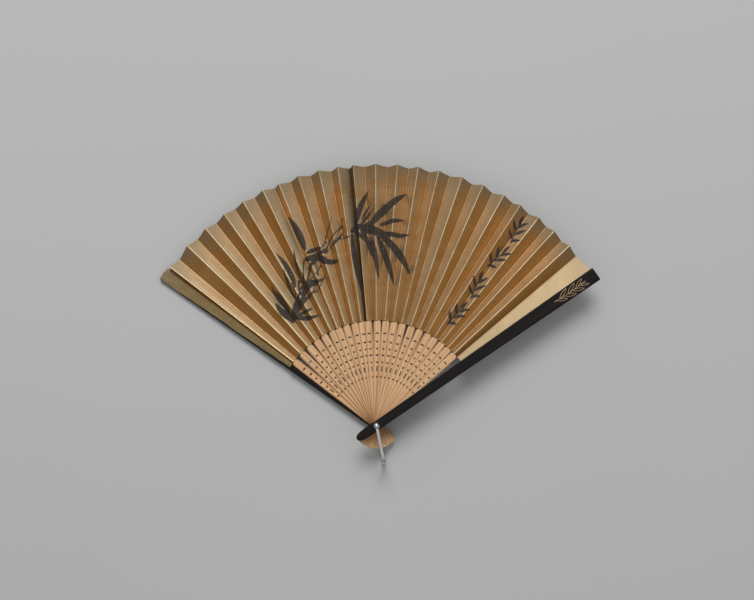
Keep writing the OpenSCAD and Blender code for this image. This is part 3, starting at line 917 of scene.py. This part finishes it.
def guard_points(head_half, head_r, tip):
    """Rings along a guard: a rounded rectangle as wide as the outline and as thick as the
    guard at each station, its outer face slightly crowned. The head ends blunt and round."""
    head_l = head_r + GUARD_HEAD_Y
    turn = np.radians([87, 80, 70, 60, 48, 36, 24, 12, 0])
    head = GUARD_HEAD_Y - head_l * np.sin(turn) ** 0.75
    body = np.concatenate([np.linspace(-2, STEP_AT - 0.6, 16), [STEP_AT - 0.1, STEP_AT + 0.1],
                           np.linspace(STEP_AT + 1, tip - TIP_R, 36)])
    end_angle = np.radians([20, 40, 60, 75, 88])
    y = np.concatenate([head, body, tip - TIP_R + TIP_R * np.sin(end_angle)])
    half = np.interp(y, [GUARD_HEAD_Y] + GUARD_AT, [head_half] + GUARD_HALF)
    half[:len(turn)] = head_half * np.cos(turn) ** 0.75
    half[-len(end_angle):] += TIP_R * np.cos(end_angle) - TIP_R
    thick = np.where(y < STEP_AT, GUARD_T, bed_height(y))
    pull = np.zeros_like(y)
    pull[-len(end_angle):] = 0.3 * (1 - np.cos(end_angle))
    pull[:3] = [0.5, 0.2, 0.06]
    sx, sz, cx, cz = section()
    half, thick, pull, y = (a[:, None] for a in (half, thick, pull, y))
    r = np.minimum(0.5, 0.45 * half)
    x = sx * (half - r) + r * cx
    low, high = pull, thick - pull
    z = (low + high) / 2 + sz * ((high - low) / 2 - r) + r * cz
    z = z + np.where(sz < 0, CROWN * (x / half) ** 2, 0)
    return np.stack([x, y + 0 * x, z], axis=-1)


def guard(name, head_half, head_r, tip, deg, z, flip, body):
    """One guard: its rings skinned over, turned to its direction and lacquered."""
    points, faces = tube(guard_points(head_half, head_r, tip))
    uv = MM * np.column_stack([points[:, 0] + points[:, 2] + deg, points[:, 1] + deg])
    placed = place(points, deg, z, flip)
    obj = piece(name, placed, turned_out(placed, faces), [black_lacquer], "lacquer", uv=uv)
    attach(obj, body)
    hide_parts(body)


guard("lacquered_back_guard", 1.9, 15.0, 192.4, BACK_DEG, back_low, False, "back_guard")
guard("lacquered_front_guard", 3.5, 17.0, GUARD_TIP, FRONT_DEG, front_high, True, "front_guard")


def ribbon(x, y, half_w, low, high):
    """A thin closed strip along a plan line, from height low to high."""
    dx, dy = np.gradient(x), np.gradient(y)
    size = np.hypot(dx, dy)
    nx, ny = -dy / size, dx / size
    left = np.stack([x + nx * half_w, y + ny * half_w], axis=-1)
    right = np.stack([x - nx * half_w, y - ny * half_w], axis=-1)
    both = np.stack([left, right], axis=1).reshape(-1, 2)
    top = np.column_stack([both, np.full(len(both), high)])
    bottom = np.column_stack([both, np.full(len(both), low)])
    return shell(top, bottom, grid_quads(len(x), 2))


def sprig_on_guard():
    """Gold line-work on the front guard: a stem with pairs of slender outlined leaves."""
    lines = []
    t = np.linspace(0, 1, 24)
    lines.append((0.6 * np.sin(3 * t) - 0.4, 156 + 27 * t, 0.16 + 0 * t))
    for foot, side, length in ((158, 1, 8), (160.5, -1, 9), (164.5, 1, 9), (167.5, -1, 9),
                               (171.5, 1, 9), (174.5, -1, 8), (178, 1, 7)):
        heading = math.radians(90 - side * 24)
        foot_x = 0.6 * math.sin(3 * (foot - 156) / 27) - 0.4
        for bow in (-0.11, 0.11):
            swing = length * bow * 4 * t * (1 - t)
            lines.append((foot_x + length * t * math.cos(heading) - swing * math.sin(heading),
                          foot + length * t * math.sin(heading) + swing * math.cos(heading),
                          0.12 + 0.03 * np.sin(math.pi * t)))
    return joined([ribbon(x, y, w, -0.02, 0.05) for x, y, w in lines])


points, faces = sprig_on_guard()
points[:, 2] = CROWN * (points[:, 0] / guard_half_width(points[:, 1])) ** 2 - points[:, 2]
placed = place(points, FRONT_DEG, front_high, True)
motif = piece("gold_sprig_lines", placed, turned_out(placed, faces), [gold_foil], "gold_paper")
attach(motif, "front_guard")

# ---------------------------------------------------------------- rivet, washer and bail

SHANK_R, RIVET_HEAD_R, DOME_H, EYE_BORE_R = 1.3, 2.2, 1.4, 1.35


def revolved(profile, closed=False, count=64):
    """A profile of (radius, z) points turned once round the rivet's axis."""
    profile = np.array(profile, float)
    a = np.linspace(0, 2 * math.pi, count, endpoint=False)
    rings = np.stack([
        profile[:, :1] * np.cos(a), profile[:, :1] * np.sin(a),
        profile[:, 1:] + 0 * a,
    ], axis=-1)
    return tube(rings, closed)


def rivet_profile():
    """A chamfered tail, the shank, a turned-under lip and the dome."""
    base = rivet_top - DOME_H
    dome_r = (RIVET_HEAD_R ** 2 + DOME_H ** 2) / (2 * DOME_H)
    span = np.linspace(math.asin(RIVET_HEAD_R / dome_r), 0.02, 14)
    dome = [(dome_r * math.sin(a), rivet_top - dome_r + dome_r * math.cos(a)) for a in span]
    tail = [(0.3, 0), (SHANK_R - 0.2, 0), (SHANK_R, 0.2), (SHANK_R, base - 0.1)]
    lip = [(SHANK_R + 0.05, base), (RIVET_HEAD_R - 0.15, base), (RIVET_HEAD_R - 0.03, base + 0.03)]
    return tail + lip + dome


points, faces = revolved(rivet_profile())
rivet = piece("domed_rivet", MM * points, turned_out(points, faces), [plated_steel], "steel")
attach(rivet, "back_guard")
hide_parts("rivet")


def ring_profile(inner, outer, low, high, soft):
    """A flat ring's section with softened edges."""
    return [(inner, low + soft), (inner + soft, low), (outer - soft, low), (outer, low + soft),
            (outer, high - soft), (outer - soft, high), (inner + soft, high),
            (inner, high - soft)]


points, faces = revolved(ring_profile(SHANK_R, RIVET_HEAD_R, 0, 1, 0.15), closed=True)
washer = piece("rivet_back_washer", MM * points, turned_out(points, faces), [plated_steel],
               "steel")
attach(washer, "back_guard")
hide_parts("rivet_washer")

BAIL_DEG, BAIL_REACH, BAIL_W, BAIL_T = -78.0, 28.0, 2.1, 1.0


def bail_strip():
    """A rounded strip carried along the U: out along the back leg, up the bend and back.
    It is thinner than the eyes by a hair, and widens a little towards the bend."""
    low, high, reach, bend = bail_low + 0.5, bail_high - 0.5, BAIL_REACH - 0.5, 5.5
    quarter = np.radians(np.linspace(0, 90, 12))
    leg = np.linspace(1.9, reach - bend, 14)[:-1]
    run = np.concatenate([leg, reach - bend + bend * np.sin(quarter)])
    rise = np.concatenate([0 * leg + low, low + bend - bend * np.cos(quarter)])
    middle = np.linspace(low + bend, high - bend, 8)[1:-1]
    path_x = np.concatenate([run, 0 * middle + reach, run[::-1]])
    path_z = np.concatenate([rise, middle, (low + high - rise)[::-1]])
    dx, dz = np.gradient(path_x), np.gradient(path_z)
    size = np.hypot(dx, dz)
    nx, nz = (-dz / size)[:, None], (dx / size)[:, None]
    sx, sz, cx, cz = section()
    widen = 1 + 0.22 * smooth(19, 24, path_x)[:, None]
    half_w, half_t, r = widen * BAIL_W / 2, 0.48, 0.3
    across = sx * (half_w - r) + r * cx
    up = sz * (half_t - r) + r * cz
    return np.stack([across, path_x[:, None] + nx * up, path_z[:, None] + nz * up], axis=-1)


parts = [tube(bail_strip())]
for z in (bail_low, bail_high - BAIL_T):
    eye = ring_profile(EYE_BORE_R, RIVET_HEAD_R, z, z + BAIL_T, 0.15)
    parts.append(revolved(eye, closed=True))
oriented = [(p, turned_out(p, f)) for p, f in parts]
points, faces = joined(oriented)
bail = piece("tassel_bail", place(points, BAIL_DEG), faces, [plated_steel], "steel")
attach(bail, "bail")
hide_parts("bail")

# ---------------------------------------------------------------- stage, light and camera


def stage_material():
    """A matt pale floor, a little cloudy."""
    made, n, shader = material("pale_floor")
    spot = n.add("ShaderNodeTexCoord").outputs["Object"]
    cloud = n.noise(spot, 3.0, 3.0)
    color = n.mix(cloud, (0.462, 0.466, 0.468, 1), (0.486, 0.490, 0.491, 1))
    finish_with(n, shader, color, None, None, n.noise(spot, 900.0, 2.0), strength=0.05,
                distance=0.0003, Roughness=0.85)
    return made


def floor():
    """One wide flat sheet under the fan."""
    side = np.linspace(-2.5, 2.5, 9)
    x, y = np.meshgrid(side, side)
    points = np.stack([x, y, 0 * x], axis=-1).reshape(-1, 3)
    mesh = bpy.data.meshes.new("floor")
    mesh.from_pydata(points.tolist(), [], grid_quads(9, 9).tolist())
    mesh.materials.append(stage_material())
    obj = bpy.data.objects.new("floor", mesh)
    bpy.context.scene.collection.objects.link(obj)


def soft_light(name, at_deg, elevation, distance, size, power, color):
    """A square softbox aimed at the middle of the fan."""
    data = bpy.data.lights.new(name, "AREA")
    data.size = size
    data.energy = power
    data.color = color
    obj = bpy.data.objects.new(name, data)
    a, e = math.radians(at_deg), math.radians(elevation)
    away = np.array([math.cos(a) * math.cos(e), math.sin(a) * math.cos(e), math.sin(e)])
    obj.location = np.array([0, 0.1, 0.01]) + distance * away
    obj.rotation_euler = Vector(away).to_track_quat("Z", "Y").to_euler()
    bpy.context.scene.collection.objects.link(obj)


floor()
soft_light("key", 92, 55, 2.4, 1.1, 38.0, (1.0, 0.985, 0.965))
world = bpy.data.worlds.new("studio")
world.use_nodes = True
sky = Nodes(world.node_tree)
upward = sky.add("ShaderNodeSeparateXYZ", {
    "Vector": sky.add("ShaderNodeTexCoord").outputs["Generated"],
}).outputs["Z"]
background = world.node_tree.nodes["Background"]
background.inputs["Color"].default_value = (0.98, 0.99, 1.0, 1)
sky.put(background.inputs["Strength"], sky.ramp(upward, 0.0, 0.8, 0.08, 0.50))
bpy.context.scene.world = world
bpy.context.scene.view_settings.view_transform = "Standard"

CAMERA_TILT, CAMERA_ROLL, CAMERA_AWAY = math.radians(4.5), math.radians(0.4), 1.1
CAMERA_AIM = (0.0003, 0.0914, 0.013)
camera_data = bpy.data.cameras.new("camera")
camera_data.lens = 72
camera_data.sensor_width = 36
camera = bpy.data.objects.new("camera", camera_data)
camera.location = (CAMERA_AIM[0], CAMERA_AIM[1] - CAMERA_AWAY * math.sin(CAMERA_TILT),
                   CAMERA_AIM[2] + CAMERA_AWAY * math.cos(CAMERA_TILT))
camera.rotation_euler = (CAMERA_TILT, 0, CAMERA_ROLL)
bpy.context.scene.collection.objects.link(camera)
bpy.context.scene.camera = camera
